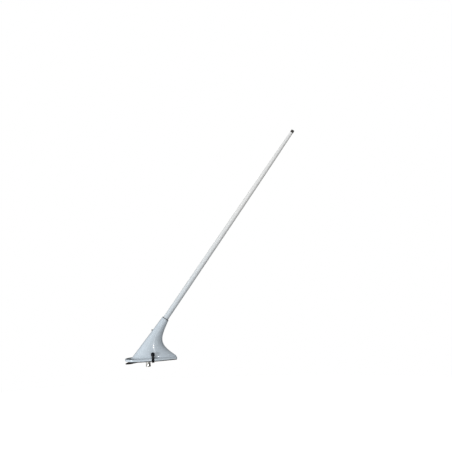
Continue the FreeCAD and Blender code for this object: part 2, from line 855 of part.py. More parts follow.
parts = {
    "radome_housing": radome_housing,
    "whip_rod": whip_rod,
    "whip_conductor": whip_conductor,
    "whip_ferrule": whip_ferrule,
    "whip_set_screw": whip_set_screw,
    "collar_seal_ring": collar_seal_ring,
    "tip_cap": tip_cap,
    "mounting_gasket": mounting_gasket,
    "base_plate": base_plate,
    "base_plate_screws": base_plate_screws,
    "threaded_inserts": threaded_inserts,
    "connector_body": connector_body,
    "connector_seal": connector_seal,
    "connector_insulator": connector_insulator,
    "connector_contact": connector_contact,
    "connector_lock_washer": connector_lock_washer,
    "ground_lug": ground_lug,
    "connector_nut": connector_nut,
    "matching_board": matching_board,
    "board_bracket": board_bracket,
    "board_screws": board_screws,
    "bracket_screws": bracket_screws,
    "coil_former": coil_former,
    "matching_coil": matching_coil,
    "capacitors": capacitors,
    "feed_wire": feed_wire,
    "whip_lead": whip_lead,
    "ground_wire": ground_wire,
}

os.makedirs("parts", exist_ok=True)
for name, build in parts.items():
    build().exportStep("parts/" + name + ".step")
for name, side in (("near", -1), ("far", 1)):
    mounting_screw(side).exportStep("parts/" + name + "_mounting_screw.step")
    screw_bush(side).exportStep("parts/" + name + "_screw_bush.step")
    retaining_ring(side).exportStep("parts/" + name + "_retaining_ring.step")
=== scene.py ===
import json
import math

import bmesh
import bpy
from mathutils import Matrix, Vector

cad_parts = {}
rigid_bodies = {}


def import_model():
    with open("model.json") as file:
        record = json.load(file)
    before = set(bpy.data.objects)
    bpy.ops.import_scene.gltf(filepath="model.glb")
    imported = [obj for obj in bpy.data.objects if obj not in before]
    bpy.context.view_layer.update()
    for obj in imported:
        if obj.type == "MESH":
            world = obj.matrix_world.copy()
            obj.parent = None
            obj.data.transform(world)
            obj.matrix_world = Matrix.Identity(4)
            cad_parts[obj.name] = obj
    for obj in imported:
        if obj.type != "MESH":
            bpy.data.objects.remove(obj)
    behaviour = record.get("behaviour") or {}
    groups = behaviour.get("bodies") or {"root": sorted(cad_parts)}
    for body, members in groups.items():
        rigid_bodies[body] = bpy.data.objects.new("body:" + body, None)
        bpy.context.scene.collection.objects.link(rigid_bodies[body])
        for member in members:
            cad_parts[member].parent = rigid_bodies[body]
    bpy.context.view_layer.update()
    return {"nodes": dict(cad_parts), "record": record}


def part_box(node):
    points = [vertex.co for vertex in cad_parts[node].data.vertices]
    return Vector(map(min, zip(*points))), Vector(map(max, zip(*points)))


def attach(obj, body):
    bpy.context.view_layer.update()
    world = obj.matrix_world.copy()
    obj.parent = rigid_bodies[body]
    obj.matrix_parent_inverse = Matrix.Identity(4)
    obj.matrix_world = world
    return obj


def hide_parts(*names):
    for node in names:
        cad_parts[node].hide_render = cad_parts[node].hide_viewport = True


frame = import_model()
scene = bpy.context.scene
mm = 0.001  # pieces are shaped in millimetres and scaled once at the end


# shaping tools

def newObject(bm, name):
    mesh = bpy.data.meshes.new(name)
    bm.to_mesh(mesh)
    bm.free()
    return bpy.data.objects.new(name, mesh)


def roundEdges(bm, size, segments=3, sharper=28):
    corner = math.radians(sharper)
    edges = [e for e in bm.edges if len(e.link_faces) == 2 and e.calc_face_angle() > corner]
    bmesh.ops.bevel(bm, geom=edges, offset=size, offset_type="OFFSET", segments=segments,
                    profile=0.5, affect="EDGES", clamp_overlap=True, material=-1)


def moveTo(bm, place):
    bmesh.ops.transform(bm, matrix=place, space=Matrix.Identity(4), verts=bm.verts)
    return bm


def spun(bm, geom, turns, steps, pitch=0.0):
    # about Z, rising by the pitch at each turn; a single turn without a rise closes on itself
    bmesh.ops.spin(bm, geom=geom, cent=(0, 0, 0), axis=(0, 0, 1), dvec=(0, 0, pitch / steps),
                   angle=2 * math.pi * turns, steps=steps * turns, use_merge=pitch == 0,
                   use_normal_flip=False, use_duplicate=False)


def turned(profile, steps=64, edge=0.0, place=None):
    # an outline of (radius, height) points spun about Z; it is open where both ends lie on the axis
    bm = bmesh.new()
    spots = [bm.verts.new((radius, 0, height)) for radius, height in profile]
    if profile[0][0] > 0:
        spots.append(spots[0])
    edges = [bm.edges.new(pair) for pair in zip(spots, spots[1:])]
    spun(bm, bm.verts[:] + edges, 1, steps)
    bmesh.ops.remove_doubles(bm, verts=bm.verts, dist=1e-5)
    bmesh.ops.recalc_face_normals(bm, faces=bm.faces)
    if edge > 0:
        roundEdges(bm, edge)
    return moveTo(bm, place or Matrix.Identity(4))


def lofted(rings):
    # closed rings of equal length joined by extruding each ring's edges to the next
    count = len(rings[0])
    bm = bmesh.new()
    ring = list(bmesh.ops.create_circle(bm, segments=count, radius=1)["verts"])
    first = list(ring)
    for vert, spot in zip(ring, rings[0]):
        vert.co = spot
    for spots in rings[1:]:
        edges = [bm.edges.get((ring[i], ring[(i + 1) % count])) for i in range(count)]
        made = bmesh.ops.extrude_edge_only(bm, edges=edges)["geom"]
        fresh = {item for item in made if isinstance(item, bmesh.types.BMVert)}
        ring = [next(e.other_vert(v) for e in v.link_edges if e.other_vert(v) in fresh) for v in ring]
        for vert, spot in zip(ring, spots):
            vert.co = spot
    for end in (first, ring):
        bmesh.ops.contextual_create(bm, geom=end)
    bmesh.ops.recalc_face_normals(bm, faces=bm.faces)
    return bm


def threaded(major, minor, pitch, low, high, steps=28):
    # one pitch of thread swept up a helix, then cut square at both ends; the shape's heights are
    # shares of the pitch
    bm = bmesh.new()
    shape = [(minor, 0), (minor, 0.12), (major, 0.46), (major, 0.66), (minor, 1)]
    spots = [bm.verts.new((radius, 0, low + (share - 1) * pitch)) for radius, share in shape]
    edges = [bm.edges.new(pair) for pair in zip(spots, spots[1:])]
    turns = math.ceil((high - low) / pitch) + 2
    spun(bm, spots + edges, turns, steps, pitch)
    bmesh.ops.remove_doubles(bm, verts=bm.verts, dist=1e-4)
    for height, normal in ((low, (0, 0, -1)), (high, (0, 0, 1))):
        geom = bm.verts[:] + bm.edges[:] + bm.faces[:]
        bmesh.ops.bisect_plane(bm, geom=geom, dist=1e-5, plane_co=(0, 0, height), plane_no=normal,
                               clear_outer=True, clear_inner=False)
        rim = [e for e in bm.edges if e.is_boundary and abs(e.verts[0].co.z - height) < 1e-4]
        bmesh.ops.contextual_create(bm, geom=rim)
    bmesh.ops.recalc_face_normals(bm, faces=bm.faces)
    return bm


def rod(radius, height, base, axis=(0, 0, 1), segments=48, top=None):
    turn = Vector((0, 0, 1)).rotation_difference(Vector(axis)).to_matrix().to_4x4()
    place = Matrix.Translation(base) @ turn @ Matrix.Translation((0, 0, height / 2))
    bm = bmesh.new()
    bmesh.ops.create_cone(bm, cap_ends=True, segments=segments, radius1=radius, matrix=place,
                          radius2=radius if top is None else top, depth=height)
    return bm


def joined(*parts):
    whole = bmesh.new()
    for part in parts:
        mesh = bpy.data.meshes.new("part")
        part.to_mesh(mesh)
        part.free()
        whole.from_mesh(mesh)
        bpy.data.meshes.remove(mesh)
    return whole


def carved(bm, cutters):
    block = newObject(bm, "block")
    scene.collection.objects.link(block)
    tools = bpy.data.collections.new("cutters")
    scene.collection.children.link(tools)
    for cutter in cutters:
        tools.objects.link(newObject(cutter, "cutter"))
    cut = block.modifiers.new("cut", "BOOLEAN")
    cut.operand_type, cut.operation, cut.solver = "COLLECTION", "DIFFERENCE", "EXACT"
    cut.collection = tools
    solved = block.evaluated_get(bpy.context.evaluated_depsgraph_get())
    result = bmesh.new()
    result.from_mesh(solved.to_mesh())
    solved.to_mesh_clear()
    for obj in list(tools.objects) + [block]:
        mesh = obj.data
        bpy.data.objects.remove(obj)
        bpy.data.meshes.remove(mesh)
    bpy.data.collections.remove(tools)
    bmesh.ops.dissolve_degenerate(result, dist=1e-5, edges=result.edges)
    return result


covered = set()  # CAD nodes that a shaped piece stands in for


def makePiece(bm, name, body, slot, nodes, smoothTo=38):
    bmesh.ops.scale(bm, vec=(mm, mm, mm), verts=bm.verts)
    piece = newObject(bm, name)
    scene.collection.objects.link(piece)
    for polygon in piece.data.polygons:
        polygon.use_smooth = True
    piece.data.set_sharp_from_angle(angle=math.radians(smoothTo))
    piece.data.materials.append(finishes[slot])
    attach(piece, body)
    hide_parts(*nodes)
    covered.update(nodes)


# shader groups shared by the finishes

def newGroup(name, output, kind, **inputs):
    # every group takes a vector, besides its own inputs, and gives one output
    group = bpy.data.node_groups.new(name, "ShaderNodeTree")
    kinds = {"f": "NodeSocketFloat", "v": "NodeSocketVector", "c": "NodeSocketColor"}
    for label, each in {"Vector": "v", **inputs}.items():
        group.interface.new_socket(name=label, in_out="INPUT", socket_type=kinds[each])
    group.interface.new_socket(name=output, in_out="OUTPUT", socket_type=kinds[kind])
    return group, group.nodes.new("NodeGroupInput"), group.nodes.new("NodeGroupOutput")


def feed(tree, socket, item):
    # a node's output is linked to the socket, and a plain value is set on it
    if hasattr(item, "is_linked"):
        tree.links.new(item, socket)
    else:
        socket.default_value = item


def addNoise(tree, vector, scale, detail=4.0, rough=0.55):
    noise = tree.nodes.new("ShaderNodeTexNoise")
    noise.inputs["Detail"].default_value = detail
    noise.inputs["Roughness"].default_value = rough
    feed(tree, noise.inputs["Vector"], vector)
    feed(tree, noise.inputs["Scale"], scale)
    return noise.outputs["Fac"]


def addMath(tree, kind, a, b):
    node = tree.nodes.new("ShaderNodeMath")
    node.operation = kind
    for socket, item in zip(node.inputs, (a, b)):
        feed(tree, socket, item)
    return node.outputs[0]


def addRange(tree, value, low, high, newLow=0.0, newHigh=1.0):
    node = tree.nodes.new("ShaderNodeMapRange")
    node.clamp = True
    for socket, item in zip(node.inputs, (value, low, high, newLow, newHigh)):
        feed(tree, socket, item)
    return node.outputs[0]


def addMix(tree, share, a, b):
    node = tree.nodes.new("ShaderNodeMix")
    node.data_type = "RGBA"
    for socket, item in zip((node.inputs[0], node.inputs[6], node.inputs[7]), (share, a, b)):
        feed(tree, socket, item)
    return node.outputs[2]


def buildColourDrift():
    # slow cloudy change between two close colours
    group, source, sink = newGroup("colourDrift", "Colour", "c", Scale="f", First="c", Second="c")
    cloud = addNoise(group, source.outputs["Vector"], source.outputs["Scale"], 5.0)
    share = addRange(group, cloud, 0.32, 0.68)
    mixed = addMix(group, share, source.outputs["First"], source.outputs["Second"])
    group.links.new(mixed, sink.inputs["Colour"])
    return group


def buildEdgeWear():
    # rubbed edges, broken up by noise
    group, source, sink = newGroup("edgeWear", "Mask", "f", Amount="f", Scale="f")
    shape = group.nodes.new("ShaderNodeNewGeometry")
    edges = addRange(group, shape.outputs["Pointiness"], 0.515, 0.60)
    cloud = addNoise(group, source.outputs["Vector"], source.outputs["Scale"], 6.0)
    worn = addMath(group, "MULTIPLY", edges, addRange(group, cloud, 0.42, 0.62))
    group.links.new(addMath(group, "MULTIPLY", worn, source.outputs["Amount"]), sink.inputs["Mask"])
    return group


def buildDust():
    # dust that settles on faces that look up, and in hollows
    group, source, sink = newGroup("settledDust", "Mask", "f", Amount="f", Scale="f")
    shape = group.nodes.new("ShaderNodeNewGeometry")
    split = group.nodes.new("ShaderNodeSeparateXYZ")
    group.links.new(shape.outputs["Normal"], split.inputs[0])
    upward = addRange(group, split.outputs["Z"], 0.1, 1.0, 0.25, 1.0)
    hollow = addRange(group, shape.outputs["Pointiness"], 0.49, 0.44)
    where = addMath(group, "MAXIMUM", upward, hollow)
    cloud = addNoise(group, source.outputs["Vector"], source.outputs["Scale"], 8.0, 0.7)
    settled = addMath(group, "MULTIPLY", where, addRange(group, cloud, 0.45, 0.75))
    group.links.new(addMath(group, "MULTIPLY", settled, source.outputs["Amount"]), sink.inputs["Mask"])
    return group


def buildGrain():
    # a broad ripple with a finer grain on it, as height
    group, source, sink = newGroup("surfaceGrain", "Height", "f", Ripple="f", Grain="f", Share="f")
    broad = addNoise(group, source.outputs["Vector"], source.outputs["Ripple"], 2.0)
    fine = addNoise(group, source.outputs["Vector"], source.outputs["Grain"], 5.0, 0.6)
    lifted = addMath(group, "MULTIPLY", fine, source.outputs["Share"])
    group.links.new(addMath(group, "ADD", broad, lifted), sink.inputs["Height"])
    return group


def buildHandling():
    # faint smears where hands and cloths have been, as a value between two limits
    group, source, sink = newGroup("handlingMarks", "Value", "f", Scale="f", Low="f", High="f")
    stretch = group.nodes.new("ShaderNodeMapping")
    stretch.inputs["Scale"].default_value = (1.0, 1.0, 2.6)
    stretch.inputs["Rotation"].default_value = (0.4, 0.7, 0.2)
    group.links.new(source.outputs["Vector"], stretch.inputs["Vector"])
    smear = addNoise(group, stretch.outputs[0], source.outputs["Scale"], 7.0, 0.62)
    value = addRange(group, smear, 0.3, 0.7, source.outputs["Low"], source.outputs["High"])
    group.links.new(value, sink.inputs["Value"])
    return group


def buildTurningMarks():
    # fine rings left by a lathe tool, the same all the way round the piece's axis
    group, source, sink = newGroup("turningMarks", "Height", "f", Scale="f")
    split = group.nodes.new("ShaderNodeSeparateXYZ")
    group.links.new(source.outputs["Vector"], split.inputs[0])
    across = addMath(group, "POWER", split.outputs["X"], 2.0)
    along = addMath(group, "POWER", split.outputs["Y"], 2.0)
    radius = addMath(group, "SQRT", addMath(group, "ADD", across, along), 0.0)
    pair = group.nodes.new("ShaderNodeCombineXYZ")
    group.links.new(radius, pair.inputs["X"])
    group.links.new(split.outputs["Z"], pair.inputs["Z"])
    marks = addNoise(group, pair.outputs[0], source.outputs["Scale"], 3.0, 0.7)
    group.links.new(marks, sink.inputs["Height"])
    return group


groups = {"drift": buildColourDrift(), "wear": buildEdgeWear(), "dust": buildDust(),
          "grain": buildGrain(), "handling": buildHandling(), "turning": buildTurningMarks()}


def useGroup(tree, kind, vector, **values):
    node = tree.nodes.new("ShaderNodeGroup")
    node.node_tree = groups[kind]
    tree.links.new(vector, node.inputs["Vector"])
    for label, value in values.items():
        node.inputs[label].default_value = value
    return node.outputs[0]


def rgba(colour):
    return (*colour, 1.0)


plainLook = {
    "colour": (0.5, 0.5, 0.5), "drifted": (0.45, 0.45, 0.45), "driftScale": 30.0,
    "wearColour": (0.6, 0.6, 0.6), "wear": 0.0, "wearScale": 300.0, "wearRough": 0.4,
    "dustColour": (0.45, 0.42, 0.38), "dust": 0.0, "dustScale": 500.0, "dustRough": 0.8,
    "rough": (0.3, 0.4), "roughScale": 60.0, "metal": 0.0, "coat": 0.0, "coatRough": 0.05, "ior": 1.5,
    "ripple": 60.0, "grain": 900.0, "grainShare": 0.2, "bump": 0.1, "bumpDepth": 0.0001,
    "turning": 0.0, "turningScale": 1800.0, "centre": (0, 0, 0), "turn": (0, 0, 0), "stretch": (1, 1, 1),
    "specular": 0.5, "fade": None, "fadeColour": (0.5, 0.5, 0.5),
}


def makeFinish(name, **look):
    look = {**plainLook, **look}
    material = bpy.data.materials.new(name)
    material.use_nodes = True
    tree = material.node_tree
    shader = tree.nodes["Principled BSDF"]
    coords = tree.nodes.new("ShaderNodeTexCoord")
    placed = tree.nodes.new("ShaderNodeMapping")
    placed.vector_type = "TEXTURE"
    placed.inputs["Location"].default_value = look["centre"]
    placed.inputs["Rotation"].default_value = look["turn"]
    placed.inputs["Scale"].default_value = look["stretch"]
    tree.links.new(coords.outputs["Object"], placed.inputs["Vector"])
    where = placed.outputs[0]
    colour = useGroup(tree, "drift", where, Scale=look["driftScale"],
                      First=rgba(look["colour"]), Second=rgba(look["drifted"]))
    # painted shade: low on the whip the colour turns darker and bluer, fading into the whip's own white over
    # the given heights, so that the foot looks less lit than the upper whip
    if look["fade"]:
        split = tree.nodes.new("ShaderNodeSeparateXYZ")
        tree.links.new(coords.outputs["Object"], split.inputs[0])
        paintedShadeFadesUpTheWhip = addRange(tree, split.outputs["Z"], *look["fade"])
        colour = addMix(tree, paintedShadeFadesUpTheWhip, rgba(look["fadeColour"]), colour)
    smoothest, roughest = look["rough"]
    rough = useGroup(tree, "handling", where, Scale=look["roughScale"], Low=smoothest, High=roughest)
    if look["wear"] > 0:
        worn = useGroup(tree, "wear", where, Amount=look["wear"], Scale=look["wearScale"])
        colour = addMix(tree, worn, colour, rgba(look["wearColour"]))
        rough = addRange(tree, worn, 0.0, 1.0, rough, look["wearRough"])
    if look["dust"] > 0:
        dusty = useGroup(tree, "dust", where, Amount=look["dust"], Scale=look["dustScale"])
        colour = addMix(tree, dusty, colour, rgba(look["dustColour"]))
        rough = addRange(tree, dusty, 0.0, 1.0, rough, look["dustRough"])
    height = useGroup(tree, "grain", where, Ripple=look["ripple"], Grain=look["grain"],
                      Share=look["grainShare"])
    if look["turning"] > 0:
        marks = useGroup(tree, "turning", where, Scale=look["turningScale"])
        height = addMath(tree, "ADD", height, addMath(tree, "MULTIPLY", marks, look["turning"]))
    bump = tree.nodes.new("ShaderNodeBump")
    bump.inputs["Strength"].default_value = look["bump"]
    bump.inputs["Distance"].default_value = look["bumpDepth"]
    tree.links.new(height, bump.inputs["Height"])
    tree.links.new(bump.outputs[0], shader.inputs["Normal"])
    tree.links.new(colour, shader.inputs["Base Color"])
    tree.links.new(rough, shader.inputs["Roughness"])
    shader.inputs["Metallic"].default_value = look["metal"]
    shader.inputs["Coat Weight"].default_value = look["coat"]
    shader.inputs["Coat Roughness"].default_value = look["coatRough"]
    shader.inputs["IOR"].default_value = look["ior"]
    shader.inputs["Specular IOR Level"].default_value = look["specular"]
    return material


def middle(node):
    low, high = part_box(node)
    return (Vector(low) + Vector(high)) / 2


whipRise = 53.36  # degrees above level
rake = math.radians(90 - whipRise)  # the whip's turn about Y, from upright
white = {"wearColour": (0.86, 0.87, 0.88), "dustColour": (0.52, 0.52, 0.50)}
finishes = {
    "white_housing": makeFinish("glossWhiteShell", colour=(0.66, 0.735, 0.80),
        drifted=(0.64, 0.715, 0.785), driftScale=22.0, rough=(0.13, 0.22), roughScale=45.0, coat=0.35,
        coatRough=0.04, ripple=70.0, grain=1400.0, grainShare=0.12, bump=0.10, bumpDepth=0.00012,
        dust=0.20, dustScale=700.0, wear=0.25, wearRough=0.3, **white),
    # the whip's finish carries painted shade: darker and bluer at the whip's foot, rising to the whip's own
    # white higher up
    "white_whip": makeFinish("paintedWhip", colour=(0.93, 0.925, 0.91), drifted=(0.905, 0.90, 0.89),
        driftScale=9.0, rough=(0.20, 0.32), roughScale=30.0, coat=0.15, coatRough=0.08, ripple=90.0,
        grain=1200.0, grainShare=0.10, bump=0.05, bumpDepth=0.00010, turn=(0, rake, 0),
        stretch=(1, 1, 9), dust=0.05, fade=(0.06, 0.30), fadeColour=(0.66, 0.725, 0.775), **white),
    "black_rubber": makeFinish("blackRubber", colour=(0.022, 0.022, 0.022),
        drifted=(0.036, 0.034, 0.032), driftScale=150.0, rough=(0.55, 0.72), grain=2600.0,
        grainShare=0.8, bump=0.3, dust=0.35, dustColour=(0.16, 0.15, 0.14), wear=0.3,
        wearColour=(0.09, 0.085, 0.08)),
    # the sheet rubber's own near-black brown, made darker still and low in specular so that its upper face
    # under the flange looks shaded: partly its own colour, partly painted shade
    "gasket_rubber": makeFinish("darkSheetRubberAndPaintedShade", colour=(0.014, 0.009, 0.005),
        drifted=(0.024, 0.016, 0.010), driftScale=55.0, rough=(0.6, 0.8), ripple=220.0, grain=2400.0,
        grainShare=0.9, bump=0.4, bumpDepth=0.00015, dust=0.12, dustColour=(0.09, 0.075, 0.06),
        wear=0.3, wearColour=(0.07, 0.058, 0.045), wearRough=0.85, specular=0.15),
    "black_cap": makeFinish("mouldedBlackCap", colour=(0.035, 0.031, 0.028),
        drifted=(0.055, 0.048, 0.042), driftScale=180.0, rough=(0.38, 0.55), grain=2200.0,
        grainShare=0.6, bump=0.25, dust=0.3, dustColour=(0.17, 0.16, 0.15), wear=0.4,
        wearColour=(0.12, 0.11, 0.10)),
    "black_steel": makeFinish("blackenedSteel", colour=(0.004, 0.005, 0.008),
        drifted=(0.009, 0.010, 0.014), driftScale=240.0, rough=(0.20, 0.34), roughScale=160.0,
        metal=0.0, grain=2800.0, grainShare=0.5, bump=0.16, wear=0.35, wearColour=(0.04, 0.04, 0.045),
        wearRough=0.28, wearScale=900.0, specular=0.12),
    "dark_steel": makeFinish("darkSteel", colour=(0.20, 0.20, 0.205), drifted=(0.27, 0.265, 0.26),
        metal=0.9, driftScale=260.0, rough=(0.26, 0.42), roughScale=200.0, grain=3000.0, grainShare=0.6,
        bump=0.2, wear=0.5, wearColour=(0.5, 0.5, 0.5)),
    "black_nylon": makeFinish("blackNylon", colour=(0.007, 0.007, 0.009), drifted=(0.013, 0.013, 0.015),
        driftScale=200.0, rough=(0.36, 0.5), grain=2600.0, grainShare=0.6, bump=0.2, wear=0.3,
        wearColour=(0.06, 0.06, 0.065), dust=0.08, dustColour=(0.10, 0.10, 0.10), specular=0.3),
    "bright_steel": makeFinish("stainlessSteel", colour=(0.56, 0.56, 0.57), drifted=(0.62, 0.615, 0.61),
        metal=1.0, driftScale=200.0, rough=(0.22, 0.36), grain=3200.0, grainShare=0.7, bump=0.15,
        turning=0.5, wear=0.4, wearColour=(0.8, 0.8, 0.8)),
    "plate_aluminium": makeFinish("blastedAluminium", colour=(0.62, 0.63, 0.64),
        drifted=(0.69, 0.70, 0.71), driftScale=60.0, metal=1.0, rough=(0.42, 0.58), ripple=500.0,
        grain=4200.0, grainShare=1.0, bump=0.3, wear=0.4, wearColour=(0.85, 0.85, 0.86)),
    "nickel": makeFinish("nickelPlate", colour=(0.70, 0.685, 0.65), drifted=(0.76, 0.745, 0.71),
        metal=1.0, driftScale=120.0, rough=(0.07, 0.14), roughScale=140.0, grain=3400.0, grainShare=0.3,
        bump=0.06, turning=0.9, wear=0.4, wearColour=(0.86, 0.80, 0.66), wearRough=0.3),
    "brass": makeFinish("turnedBrass", colour=(0.66, 0.47, 0.20), drifted=(0.74, 0.56, 0.28), metal=1.0,
        driftScale=140.0, rough=(0.22, 0.36), grain=3000.0, bump=0.15, turning=0.8, wear=0.4,
        wearColour=(0.88, 0.74, 0.45)),
    "tinned_brass": makeFinish("tinnedBrass", colour=(0.60, 0.60, 0.575), drifted=(0.67, 0.665, 0.64),
        metal=1.0, driftScale=180.0, rough=(0.28, 0.44), grain=2600.0, grainShare=0.8, bump=0.25,
        wear=0.3, wearColour=(0.72, 0.60, 0.36)),
    "gold_contact": makeFinish("goldPlate", colour=(0.80, 0.58, 0.22), drifted=(0.88, 0.68, 0.31),
        metal=1.0, driftScale=260.0, rough=(0.14, 0.24), grain=3600.0, bump=0.1, turning=0.6, wear=0.3,
        wearColour=(0.75, 0.70, 0.62)),
    "copper": makeFinish("enamelledCopper", colour=(0.60, 0.26, 0.12), drifted=(0.70, 0.33, 0.16),
        metal=1.0, driftScale=300.0, rough=(0.16, 0.30), grain=2400.0, bump=0.12, coat=0.5, wear=0.2,
        wearColour=(0.85, 0.55, 0.38)),
    "white_insulator": makeFinish("whiteFluoropolymer", colour=(0.82, 0.82, 0.80),
        drifted=(0.76, 0.76, 0.745), driftScale=220.0, rough=(0.34, 0.48), grain=2200.0, grainShare=0.5,
        bump=0.2, turning=0.5, dust=0.15),
    "circuit_board": makeFinish("boardLaminate", colour=(0.045, 0.20, 0.09), drifted=(0.06, 0.26, 0.12),
        driftScale=400.0, rough=(0.25, 0.38), ripple=600.0, grain=3000.0, grainShare=0.5, bump=0.3,
        coat=0.3, wear=0.5, wearColour=(0.50, 0.46, 0.28)),
    "capacitor_case": makeFinish("dippedResin", colour=(0.46, 0.20, 0.045), drifted=(0.54, 0.26, 0.07),
        driftScale=500.0, rough=(0.2, 0.32), ripple=500.0, grain=2400.0, bump=0.3, coat=0.3, wear=0.3,
        wearColour=(0.66, 0.42, 0.2)),
}
print("finishes made:", len(finishes))

# white moulded shell

shell = {
    "noseX": -47.0, "tailX": 59.5, "noseRadius": 23.0, "tailRadius": 3.0, "sideRadius": 200.0,
    "base": 1.6, "top": 6.0, "edgeRadius": 1.0, "lowerEdge": 0.25,
    "footX": -35.2, "tailGap": 1.4, "sink": 1.0, "halfWidth": 13.7, "widthPower": 1.3, "sharpness": 0.86,
    "cove": 3.0, "shoulderX": 56.0, "shoulderRise": 4.0, "footAngle": 144.0, "rimAngle": 63.2,
    "footPull": 0.57, "rimPull": 0.59, "roundPull": 0.5, "rim": (39.15, 0.0, 84.5), "collar": 7.2,
    "around": 160, "up": 64, "rimEdge": 0.35, "socketRadius": 5.65, "socketDepth": 54.0,
}
setScrew = {"drop": 34.6, "radius": 2.0, "core": 1.62, "pitch": 0.7, "proud": 0.8, "flat": 1.155,
            "socketDepth": 1.6}
whipPlace = Matrix.Translation(shell["rim"]) @ Matrix.Rotation(rake, 4, "Y")


def outlineWidth(x, inset, form):
    # half width of a teardrop outline: a nose arc, a side arc and a tail arc
    nose, tail, side = (form[end + "Radius"] - inset for end in ("nose", "tail", "side"))
    noseAt, tailAt = form["noseX"] + form["noseRadius"], form["tailX"] - form["tailRadius"]
    gap, near, far = tailAt - noseAt, side - nose, side - tail
    across = (gap * gap + near * near - far * far) / (2 * gap)
    centre = Vector((noseAt + across, -math.sqrt(near * near - across * across)))
    noseTouch = noseAt - across / near * nose
    tailTouch = tailAt + (gap - across) / far * tail
    if x < noseTouch:
        return math.sqrt(max(0.0, nose * nose - (x - noseAt) ** 2))
    if x > tailTouch:
        return math.sqrt(max(0.0, tail * tail - (x - tailAt) ** 2))
    return centre.y + math.sqrt(side * side - (x - centre.x) ** 2)


def around(count):
    return [2 * math.pi * i / count for i in range(count)]


def outlineRing(inset, z, count, form=shell):
    low, high = form["noseX"] + inset, form["tailX"] - inset
    ring = []
    for a in around(count):
        x = (low + high) / 2 - (high - low) / 2 * math.cos(a)
        ring.append(Vector((x, math.copysign(outlineWidth(x, inset, form), math.sin(a)), z)))
    return ring


def cubic(start, leave, arrive, end, t):
    u = 1 - t
    return start * u**3 + leave * (3 * u * u * t) + arrive * (3 * u * t * t) + end * t**3


def slope(angle):
    return Vector((math.cos(math.radians(angle)), 0, math.sin(math.radians(angle))))


finFoot = Vector((shell["footX"], 0, shell["top"] - shell["sink"]))
finTail = Vector((shell["tailX"] - shell["tailGap"], 0, shell["top"] - shell["sink"]))
rimTail = whipPlace @ Vector((shell["collar"], 0, 0))
rimNose = whipPlace @ Vector((-shell["collar"], 0, 0))


def trailingPoint(t):
    # below zero the rounded tail, and above it the long curve up to the collar
    shoulder = Vector((shell["shoulderX"], 0, shell["top"] + shell["shoulderRise"]))
    away = slope(shell["footAngle"])
    if t < 0:
        pull = (shoulder - finTail).length * shell["roundPull"]
        return cubic(finTail, finTail + Vector((0, 0, pull)), shoulder - away * pull, shoulder, 1 + t)
    span = (rimTail - shoulder).length
    arrive = rimTail - slope(shell["rimAngle"]) * span * shell["rimPull"]
    return cubic(shoulder, shoulder + away * span * shell["footPull"], arrive, rimTail, t)


def stationAt(height):
    low, high = -1.0, 1.0
    for _ in range(40):
        half = (low + high) / 2
        if trailingPoint(half).z < height:
            low = half
        else:
            high = half
    return (low + high) / 2


def finRing(t, count, grow=0.0, noseWall=0.0, tailWall=0.0, thin=0.0):
    # one section of the fin: a teardrop at the foot and a circle at the collar's rim, less its walls
    tail = trailingPoint(t)
    share = min(1.0, (tail.z - finFoot.z) / (rimTail.z - finFoot.z))
    nose = finFoot.lerp(rimNose, share)
    chord = (tail - nose).normalized()
    nose, tail = nose + chord * (noseWall - grow), tail - chord * tailWall
    narrowing = 1 - share ** shell["widthPower"]
    width = shell["collar"] + (shell["halfWidth"] - shell["collar"]) * narrowing + grow
    sharp = shell["sharpness"] * (1 - share) ** 0.8
    fullness = [math.sin(a) * (1 - sharp + sharp * math.cos(a / 2)) for a in around(2 * count)[:count]]
    centre, half = (nose + tail) / 2, (tail - nose).length / 2
    ring = []
    for a in around(count):
        folded = a if a <= math.pi else 2 * math.pi - a
        full = math.sin(folded) * (1 - sharp + sharp * math.cos(folded / 2)) / max(fullness)
        y = math.copysign((width - thin) * full, math.sin(a))
        ring.append(centre - chord * half * math.cos(folded) + Vector((0, y, 0)))
    return ring


def blendRings(first, second, share):
    return [a.lerp(b, share) for a, b in zip(first, second)]


def quarter(steps):
    return [math.pi / 2 * i / steps for i in range(steps + 1)]


def shellOutside():
    count = shell["around"]
    low, edge, cove, top = shell["lowerEdge"], shell["edgeRadius"], shell["cove"], shell["top"]
    rings = [outlineRing(low, shell["base"], count), outlineRing(0, shell["base"] + low, count)]
    for turn in quarter(8):
        rings.append(outlineRing(edge * (1 - math.cos(turn)), top - edge + edge * math.sin(turn), count))
    coves = []
    for turn in quarter(10):
        height = top + cove * (1 - math.cos(turn))
        coves.append(finRing(stationAt(height), count, cove * (1 - math.sin(turn))))
    for vert in coves[0]:
        vert.z = top
    flatEdge = rings[-1]
    rings += [blendRings(flatEdge, coves[0], share) for share in (0.12, 0.4, 0.7, 0.9)]
    rings += coves
    start = stationAt(top + cove)
    for i in range(1, shell["up"] + 1):
        share = i / shell["up"]
        rings.append(finRing(start + (1 - start) * share, count))
    rim, rimEdge = rings.pop(), shell["rimEdge"]
    inward = Vector(shell["rim"])
    below = whipPlace.to_3x3() @ Vector((0, 0, -1))
    for turn in quarter(4):
        share = rimEdge * (1 - math.cos(turn)) / shell["collar"]
        drop = below * rimEdge * (1 - math.sin(turn))
        rings.append([p.lerp(inward, share) + drop for p in rim])
    return lofted(rings)


def stadiumRing(x, y, radius, reach, grow, z):
    # a round slot that runs straight out sideways, past the flange's edge
    side = math.copysign(1, y)
    ring = []
    for a in around(48):
        px, py = (radius + grow) * math.cos(a), (radius + grow) * math.sin(a)
        ring.append(Vector((x + px, y + side * (py if py < 0 else py + reach), z)))
    return ring


def notchCutter(x, y, radius, low, high, flare, reach=22.0):
    rings = [stadiumRing(x, y, radius, reach, 0, low)]
    for turn in quarter(5):
        grow = flare * (1 - math.cos(turn))
        rings.append(stadiumRing(x, y, radius, reach, grow, high - flare + flare * math.sin(turn)))
    rings.append(stadiumRing(x, y, radius, reach, flare, high + 0.2))
    return lofted(rings)


